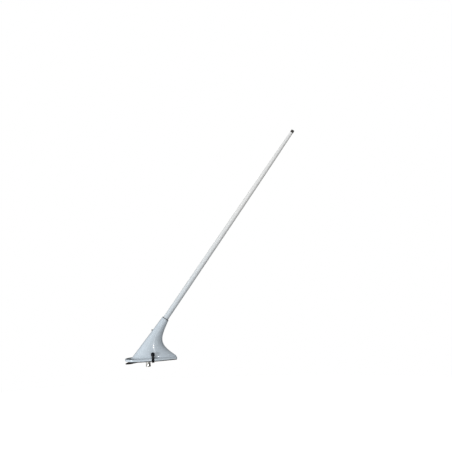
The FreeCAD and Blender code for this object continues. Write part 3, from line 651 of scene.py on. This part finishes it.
plate = {"inset": 6.0, "tailX": 50.0, "tailRadius": 3.0, "sideRadius": 400.0, "thickness": 2.5, "gap": 0.2}
bosses = [(-17.5, 6.3), (-17.5, -6.3), (38.5, 0.0)]
postRadius, insertRadius, insertDepth = 3.3, 2.15, 5.0
hollow = {"wall": 3.2, "ends": 4.5, "noseFoot": 5.5, "tailFoot": 7.5, "fading": 2.5, "top": 47.0}
noseHole = {"x": -35.0, "radius": 2.25, "sink": 4.2, "pocket": 4.6, "pocketTop": 27.0}
screwSpots = {name: middle(name + "_mounting_screw") / mm for name in ("near", "far")}
notch = {"radius": 2.95, "headRoom": 4.3, "headHeight": 14.0, "flare": 0.4, "gasketFlare": 0.05}


def shellHollow():
    # the hollow inside the fin, thicker at its foot, with the bosses left standing in it
    count, stops, ends = 64, 12, hollow["ends"]
    bottom = shell["base"] + plate["thickness"] - 0.1
    rings = []
    for i in range(stops + 1):
        fade = max(0.0, 1 - hollow["fading"] * i / stops)
        noseWall, tailWall = ends + hollow["noseFoot"] * fade, ends + hollow["tailFoot"] * fade
        height = shell["top"] + (hollow["top"] - shell["top"]) * i / stops
        rings.append(finRing(stationAt(height), count, 0.0, noseWall, tailWall, hollow["wall"]))
    foot = [Vector((p.x, p.y, bottom)) for p in rings[0]]
    posts = [rod(postRadius, 7.0, (x, y, bottom - 1), segments=32) for x, y in bosses]
    return carved(lofted([foot] + rings), posts)


def plateRecess():
    # the base plate's own outline, grown by the gap round it
    gap = plate["gap"]
    form = {"noseX": shell["noseX"] + plate["inset"] - gap, "tailX": plate["tailX"] + gap,
            "noseRadius": shell["noseRadius"] - plate["inset"] + gap,
            "tailRadius": plate["tailRadius"] + gap, "sideRadius": plate["sideRadius"] + gap}
    heights = (shell["base"] - 1, shell["base"] + plate["thickness"])
    return lofted([outlineRing(0, z, 96, form) for z in heights])


def makeShell():
    cutters = [shellHollow(), plateRecess()]
    for spot in screwSpots.values():
        cutters.append(notchCutter(spot.x, spot.y, notch["radius"], 0, shell["top"], notch["flare"]))
        foot = (spot.x, spot.y, shell["top"] + 0.01)
        cutters.append(rod(notch["headRoom"], notch["headHeight"], foot, segments=64))
    radius, sink, pocket = noseHole["radius"], noseHole["sink"], noseHole["pocket"]
    top, above = shell["top"], noseHole["pocketTop"]
    profile = [(0, 0), (radius, 0), (radius, top - (sink - radius)), (sink, top),
               (pocket, top + 0.01), (pocket, above), (0, above)]
    cutters.append(turned(profile, 64, 0, Matrix.Translation((noseHole["x"], 0, 0))))
    for x, y in bosses:
        foot = (x, y, shell["base"] + plate["thickness"] - 0.05)
        cutters.append(rod(insertRadius, insertDepth, foot, segments=32))
    socket, depth = shell["socketRadius"], shell["socketDepth"]
    cutters.append(turned([(0, -depth), (socket, -depth), (socket, 0.5), (0, 0.5)], 96, 0, whipPlace))
    bore = rod(setScrew["radius"] + 0.05, 18, (0.05 - socket, 0, -setScrew["drop"]), (-1, 0, 0), 48)
    cutters.append(moveTo(bore, whipPlace))
    body = carved(shellOutside(), cutters)
    makePiece(body, "mouldedShell", "antenna", "white_housing", ["radome_housing"], 42)
    print("shell made")


makeShell()

# whip, its seal, cap and set screw

whip = {"length": 465.0, "capLength": 4.0, "foot": -38.0, "bore": 1.05, "footRadius": 4.2, "step": -20.0,
        "stepRadius": 5.6,
        "radii": [(-0.5, 5.6), (0, 5.6), (60, 5.47), (130, 5.27), (200, 5.03), (260, 4.8), (315, 4.49),
                  (368, 4.1), (420, 3.6), (463, 3.1)]}  # (along the whip from the collar, radius)


def makeWhip():
    # the tube tapers from the collar to the tip; its reduced end stands in the ferrule
    tip = whip["length"] - whip["capLength"] / 2
    profile = [(whip["bore"], whip["foot"]), (whip["footRadius"], whip["foot"]),
               (whip["footRadius"], whip["step"]), (whip["stepRadius"], whip["step"])]
    marks = whip["radii"]
    rows = 90
    for i in range(rows + 1):
        z = tip * i / rows
        k = max(j for j in range(len(marks) - 1) if marks[j][0] <= z)
        (z0, r0), (z1, r1) = marks[k], marks[k + 1]
        profile.append((r0 + (r1 - r0) * (z - z0) / (z1 - z0), z))
    profile.append((whip["bore"], tip))
    makePiece(turned(profile, 72, 0, whipPlace), "whipTube", "antenna", "white_whip", ["whip_rod"])
    inner = shell["socketRadius"]
    seal = [(inner, 0), (7.05, 0), (7.05, 0.5), (6.95, 0.68), (6.7, 0.8), (6.1, 0.74), (5.75, 0.8),
            (inner, 0.8)]
    ring = turned(seal, 72, 0.05, whipPlace)
    makePiece(ring, "collarSeal", "antenna", "black_rubber", ["collar_seal_ring"])
    top = whip["length"]
    cap = [(0, top - 2), (3.2, top - 2), (3.2, top - 4), (3.4, top - 4), (3.4, top + 0.3),
           (3.2, top + 1.0), (2.7, top + 1.55), (1.9, top + 1.88), (0.9, top + 2.0), (0, top + 2.0)]
    makePiece(turned(cap, 48, 0.06, whipPlace), "tipCap", "antenna", "black_cap", ["tip_cap"])
    print("whip made")


makeWhip()


def makeSetScrew():
    # grub screw with a hexagonal socket in its outer end, which stands a little proud of the fin
    s, inner = setScrew, shell["socketRadius"]
    lean = math.atan2(rimNose.z - finFoot.z, rimNose.x - finFoot.x)
    outer = shell["collar"] + s["drop"] * math.tan(math.pi / 2 - rake - lean) + s["proud"]
    core = [(0, inner + 0.01), (1.6, inner + 0.01), (1.6, outer - 0.56), (1.98, outer - 0.56),
            (1.98, outer - 0.3), (1.72, outer), (0, outer)]
    thread = threaded(s["radius"], s["core"], s["pitch"], inner, outer - 0.55)
    screw = joined(thread, turned(core, 40, 0.05))
    socket = rod(s["flat"], 3.0, (0, 0, outer - s["socketDepth"]), segments=6)
    turn = Matrix.Translation((0, 0, -s["drop"])) @ Matrix.Rotation(-math.pi / 2, 4, "Y")
    bm = moveTo(carved(screw, [socket]), whipPlace @ turn)
    makePiece(bm, "collarGrubScrew", "antenna", "dark_steel", ["whip_set_screw"])


makeSetScrew()

# rubber gasket with its drooping nose

gasket = {"inset": 0.4, "thickness": 1.6, "edge": 0.35, "droopX": -17.5, "droopRadius": 30.0,
          "droopAngle": 11.0, "jackHole": 8.2, "noseHoleGap": 0.5, "sag": 0.35, "sagRun": 29, "sagWave": 7}


def drooped(spot):
    # the sheet bends down a little way ahead of the jack, then runs straight to its nose
    run = gasket["droopX"] - spot.x
    if run <= 0:
        return spot
    angle, radius = math.radians(gasket["droopAngle"]), gasket["droopRadius"]
    bend = radius * math.sin(angle)
    if run < bend:
        drop = radius - math.sqrt(radius * radius - run * run)
    else:
        drop = radius * (1 - math.cos(angle)) + (run - bend) * math.tan(angle)
    sag = gasket["sag"] * (run / gasket["sagRun"]) ** 2 * math.sin(spot.y / gasket["sagWave"])
    return spot - Vector((0, 0, drop + sag))


def makeGasket():
    # rings from the middle line out over the lower face, round the edge and back over the upper face
    count, inset, edge, thick = 160, gasket["inset"], gasket["edge"], gasket["thickness"]
    shrink = [0.0, 0.2, 0.4, 0.6, 0.8]
    low, high = (outlineRing(inset + edge, z, count) for z in (0, thick))
    rings = [[Vector((p.x, p.y * share, p.z)) for p in low] for share in shrink]
    for turn in quarter(4):
        out, up = edge * (1 - math.sin(turn)), edge * (1 - math.cos(turn))
        rings.append(outlineRing(inset + out, up, count))
    for turn in quarter(4):
        out, up = edge * (1 - math.cos(turn)), edge * math.sin(turn)
        rings.append(outlineRing(inset + out, thick - edge + up, count))
    rings += [[Vector((p.x, p.y * share, p.z)) for p in high] for share in reversed(shrink)]
    sheet = lofted(rings)
    caps = [f for f in sheet.faces if len(f.verts) == count]
    bmesh.ops.delete(sheet, geom=caps, context="FACES_ONLY")
    bmesh.ops.remove_doubles(sheet, verts=sheet.verts, dist=1e-4)
    for vert in sheet.verts:
        vert.co = drooped(vert.co.copy())
    cutters = [rod(gasket["jackHole"], 4, (0, 0, -1), segments=96)]
    cutters.append(rod(noseHole["radius"] + gasket["noseHoleGap"], 16, (noseHole["x"], 0, -10)))
    for spot in screwSpots.values():
        radius, flare = notch["radius"], notch["gasketFlare"]
        cutters.append(notchCutter(spot.x, spot.y, radius, -1, thick + 1, flare))
    sheet = carved(sheet, cutters)
    makePiece(sheet, "sheetGasket", "antenna", "gasket_rubber", ["mounting_gasket"], 42)
    print("gasket made")


makeGasket()

# bayonet jack

jack = {"barrel": 4.8, "rear": 4.6, "bore": 4.0, "face": -12.0, "step": -8.8, "shoulder": 7.1,
        "shoulderZ": -0.8, "base": 1.6, "groove": (5.4, 6.6), "grooveDepth": 1.1, "shank": 4.6, "top": 10.0,
        "pitch": 0.79, "lip": 2.0, "lugRadius": 1.0, "lugReach": 5.5, "lugZ": -7.4}


def makeJack():
    j = jack
    bore, barrel, shank, shoulder, lip = (j[key] for key in ("bore", "barrel", "shank", "shoulder", "lip"))
    face, step, ledge, base, top = (j[key] for key in ("face", "step", "shoulderZ", "base", "top"))
    (inner, outer), floor = j["groove"], base - j["grooveDepth"]
    outline = [(bore, face + 0.4), (bore + 0.35, face), (barrel - 0.25, face), (barrel, face + 0.25),
               (barrel, step), (j["rear"], step + 0.2), (j["rear"], ledge), (shoulder - 0.35, ledge),
               (shoulder, ledge + 0.35), (shoulder, base), (outer, base), (outer, floor), (inner, floor),
               (inner, base), (shank - 0.28, base), (shank - 0.28, top - 0.3), (shank - 0.5, top),
               (lip, top), (lip, top - 1), (bore, top - 1)]
    body = turned(outline, 96, 0.06)
    thread = threaded(shank, shank - 0.4, j["pitch"], base + 0.5, top - 0.5, 40)
    lugs = rod(j["lugRadius"], 2 * j["lugReach"], (0, -j["lugReach"], j["lugZ"]), (0, 1, 0), 40)
    roundEdges(lugs, 0.18)
    lugs = carved(lugs, [rod(bore + 0.3, 4, (0, 0, j["lugZ"] - 2), segments=64)])
    thread = carved(thread, [rod(shank - 0.9, 12, (0, 0, 0), segments=64)])
    makePiece(joined(body, thread, lugs), "bayonetJack", "antenna", "nickel", ["connector_body"])
    profile = [(0.69, -11), (2.1, -11), (2.4, -10.7), (2.4, -3.5), (3.75, -3.5), (3.95, -3.3), (3.95, 9),
               (1.95, 9), (1.95, 10.6), (0.69, 10.6)]
    insulator = turned(profile, 72, 0.08)
    makePiece(insulator, "jackInsulator", "antenna", "white_insulator", ["connector_insulator"])
    pin = turned([(0, 12), (0.5, 12), (0.68, 11.8), (0.68, -11.3), (0.6, -11.4), (0.5, -11.4),
                  (0.45, -11.3), (0.45, -6.4), (0, -6.2)], 32, 0.02)
    slots = []
    for wide, deep in ((2.0, 0.24), (0.24, 2.0)):
        slot = bmesh.new()
        place = Matrix.Translation((0, 0, -10.2)) @ Matrix.Diagonal((wide, deep, 3.2, 1))
        bmesh.ops.create_cube(slot, size=1, matrix=place)
        slots.append(slot)
    makePiece(carved(pin, slots), "slottedContact", "antenna", "gold_contact", ["connector_contact"])
    print("jack made")


makeJack()

# side mounting screws, with their bushes and rings

screw = {"shank": 2.0, "core": 1.66, "pitch": 0.7, "head": 3.8, "tipZ": -2.1, "headZ": 11.65,
         "headTop": 18.75, "plain": 5.2, "flats": 3.0, "socketDepth": 3.5, "dome": 2.85, "bushLength": 5.1,
         "ringInner": 2.01, "ringMiddle": 2.25, "ringTop": -0.7, "ringFoot": -1.2, "ringEdge": 0.6}


def makeSideScrew(name):
    s, spot = screw, screwSpots[name]
    place = Matrix.Translation((spot.x, spot.y, 0))
    top, base, dome = s["headTop"], s["headZ"], s["dome"]
    head = [(0, base), (s["head"] - 0.25, base), (s["head"], base + 0.25), (s["head"], top - dome)]
    for turn in quarter(12)[1:]:
        head.append((s["head"] - dome + dome * math.cos(turn), top - dome + dome * math.sin(turn)))
    head.append((0, top))
    radius, core, low, plain = s["shank"], s["core"], s["tipZ"], base - s["plain"]
    shank = threaded(radius, core, s["pitch"], low + 0.4, plain - 0.1)
    tip = [(0, low), (core - 0.1, low), (core, low + 0.4), (core, plain - 0.4), (radius, plain),
           (radius, base + 0.1), (0, base + 0.1)]
    socket = rod(s["flats"] / math.sqrt(3), s["socketDepth"] + 1, (0, 0, top - s["socketDepth"]), segments=6)
    cap = carved(turned(head, 64, 0), [socket])
    whole = moveTo(joined(cap, shank, turned(tip, 48, 0)), place)
    makePiece(whole, name + "RoundScrew", name + "_screw", "black_steel", [name + "_mounting_screw"])
    top = base - 0.05
    foot = top - s["bushLength"]
    profile = [(2.06, foot), (2.28, foot), (2.47, foot + 0.15), (2.68, base - 0.25), (2.55, top),
               (2.06, top)]
    bush = turned(profile, 56, 0.04, place)
    makePiece(bush, name + "TaperBush", name + "_bush", "black_nylon", [name + "_screw_bush"])
    centre, edge, high, low = s["ringMiddle"], s["ringEdge"], s["ringTop"], s["ringFoot"]
    profile = [(s["ringInner"], high + edge)]
    profile += [(centre + edge * math.sin(a), high + edge * math.cos(a)) for a in quarter(5)]
    profile += [(centre + edge * math.cos(a), low - edge * math.sin(a)) for a in quarter(5)]
    profile.append((s["ringInner"], low - edge))
    ring = turned(profile, 48, 0, place)
    makePiece(ring, name + "SnapRing", name + "_screw", "black_rubber", [name + "_retaining_ring"])


for name in screwSpots:
    makeSideScrew(name)
print("side screws made")

# wound coil on its former

coil = {"turns": 12, "wire": 0.45, "gap": 0.97, "inner": 2.45}  # gap: share of the wire's radius


def makeCoil():
    low, high = [Vector(corner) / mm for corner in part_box("matching_coil")]
    centre = (low + high) / 2
    pitch = 2 * coil["wire"]
    start = Matrix.Translation((coil["inner"] + coil["wire"], 0, low.z + coil["wire"]))
    bm = bmesh.new()
    ring = bmesh.ops.create_circle(bm, segments=12, radius=coil["wire"] * coil["gap"],
                                   matrix=start @ Matrix.Rotation(math.pi / 2, 4, "X"))
    turns, steps = coil["turns"] - 1, 32
    spun(bm, bm.verts[:] + bm.edges[:], turns, steps, pitch)
    bmesh.ops.contextual_create(bm, geom=ring["verts"])
    bmesh.ops.contextual_create(bm, geom=[e for e in bm.edges if e.is_boundary])
    bmesh.ops.recalc_face_normals(bm, faces=bm.faces)
    moveTo(bm, Matrix.Translation((centre.x, centre.y, 0)))
    makePiece(bm, "woundCoil", "antenna", "copper", ["matching_coil"])


makeCoil()

# the other nodes keep their shapes and get their finishes

for row in frame["record"]["subparts"]:
    if row["node"] not in covered:
        data = frame["nodes"][row["node"]].data
        data.materials.clear()
        data.materials.append(finishes[row["material_slot"]])
print("nodes finished")

# camera, world, floor and lights

view = {"target": (0.1716, 0.0, 0.2689), "distance": 1.9, "lean": 0.0443, "frameWidth": 0.9266,
        "sensor": 36}
studio = {"from": (-0.62, -0.78, 0.0), "spread": (-0.30, 0.55), "dim": 0.02, "bright": 0.64,
          "tinted": (-0.4, 0.2), "warm": (1.0, 0.80, 0.62), "cool": (0.95, 0.98, 1.0)}
floorLook = {"radius": 2.2, "height": -0.4, "colour": (0.9, 0.9, 0.9), "rough": 0.9,
             "glow": (0.26, 0.01), "glowRange": (-0.6, 0.25)}
lamps = {
    "leftKey": {"spot": (-1.8, -1.7, 0.12), "aim": (0.0, 0.0, 0.03), "size": (0.4, 0.4), "power": 24.0},
    "frontGlint": {"spot": (0.427, -1.44, -0.03), "aim": (0.012, 0.0, 0.032), "size": (0.03, 0.07),
                   "power": 0.9},
}


def addCamera():
    lean, distance, target = view["lean"], view["distance"], Vector(view["target"])
    ahead = Vector((0, 1, 0))
    up = Vector((lean, 0, math.sqrt(1 - lean * lean)))
    right = ahead.cross(up).normalized()
    camera = bpy.data.cameras.new("camera")
    camera.sensor_width = view["sensor"]
    camera.lens = view["sensor"] * distance / view["frameWidth"]
    holder = bpy.data.objects.new("camera", camera)
    scene.collection.objects.link(holder)
    turn = Matrix((right, up, -ahead)).transposed().to_4x4()
    holder.matrix_world = Matrix.Translation(target - ahead * distance) @ turn
    scene.camera = holder
    scene.view_settings.view_transform = "Standard"


def addWorld():
    # white wherever the camera looks; the light on the piece comes mostly from the left and the front
    world = bpy.data.worlds.new("studio")
    scene.world = world
    world.use_nodes = True
    tree = world.node_tree
    backdrop = tree.nodes["Background"]
    backdrop.inputs["Color"].default_value = (1, 1, 1, 1)
    glow = tree.nodes.new("ShaderNodeBackground")
    coords = tree.nodes.new("ShaderNodeTexCoord")
    toLight = tree.nodes.new("ShaderNodeVectorMath")
    toLight.operation = "DOT_PRODUCT"
    toLight.inputs[1].default_value = studio["from"]
    tree.links.new(coords.outputs["Generated"], toLight.inputs[0])
    facing = toLight.outputs["Value"]
    strength = addRange(tree, facing, *studio["spread"], studio["dim"], studio["bright"])
    tree.links.new(strength, glow.inputs["Strength"])
    share = addRange(tree, facing, *studio["tinted"])
    tint = addMix(tree, share, rgba(studio["warm"]), rgba(studio["cool"]))
    tree.links.new(tint, glow.inputs["Color"])
    path = tree.nodes.new("ShaderNodeLightPath")
    mix = tree.nodes.new("ShaderNodeMixShader")
    tree.links.new(path.outputs["Is Camera Ray"], mix.inputs[0])
    tree.links.new(glow.outputs[0], mix.inputs[1])
    tree.links.new(backdrop.outputs[0], mix.inputs[2])
    tree.links.new(mix.outputs[0], tree.nodes["World Output"].inputs["Surface"])


def addFloor():
    material = bpy.data.materials.new("paleFloor")
    material.use_nodes = True
    tree = material.node_tree
    shader = tree.nodes["Principled BSDF"]
    shader.inputs["Base Color"].default_value = rgba(floorLook["colour"])
    shader.inputs["Roughness"].default_value = floorLook["rough"]
    shader.inputs["Emission Color"].default_value = (1, 1, 1, 1)
    # seen only from above, so that it doesn't hide the underside
    side = tree.nodes.new("ShaderNodeNewGeometry")
    alpha = addRange(tree, side.outputs["Backfacing"], 0.0, 1.0, 1.0, 0.0)
    tree.links.new(alpha, shader.inputs["Alpha"])
    # plain white to the camera, while what it sends up to the piece fades from left to right
    path = tree.nodes.new("ShaderNodeLightPath")
    coords = tree.nodes.new("ShaderNodeTexCoord")
    split = tree.nodes.new("ShaderNodeSeparateXYZ")
    tree.links.new(coords.outputs["Object"], split.inputs[0])
    fromLeft = addRange(tree, split.outputs["X"], *floorLook["glowRange"], *floorLook["glow"])
    seen = addRange(tree, path.outputs["Is Camera Ray"], 0.0, 1.0, fromLeft, 1.0)
    tree.links.new(seen, shader.inputs["Emission Strength"])
    bm = bmesh.new()
    bmesh.ops.create_circle(bm, cap_ends=True, segments=96, radius=floorLook["radius"],
                            matrix=Matrix.Translation((0, 0, floorLook["height"])))
    floor = newObject(bm, "floor")
    floor.data.materials.append(material)
    scene.collection.objects.link(floor)


def addLight(name, spot, aim, size, power):
    lamp = bpy.data.lights.new(name, "AREA")
    lamp.shape = "ELLIPSE"
    lamp.size, lamp.size_y = size
    lamp.energy = power
    holder = bpy.data.objects.new(name, lamp)
    scene.collection.objects.link(holder)
    away = (Vector(spot) - Vector(aim)).to_track_quat("Z", "Y")
    holder.matrix_world = Matrix.Translation(spot) @ away.to_matrix().to_4x4()


addCamera()
addWorld()
addFloor()
for name, lamp in lamps.items():
    addLight(name, **lamp)
print("stage lit")
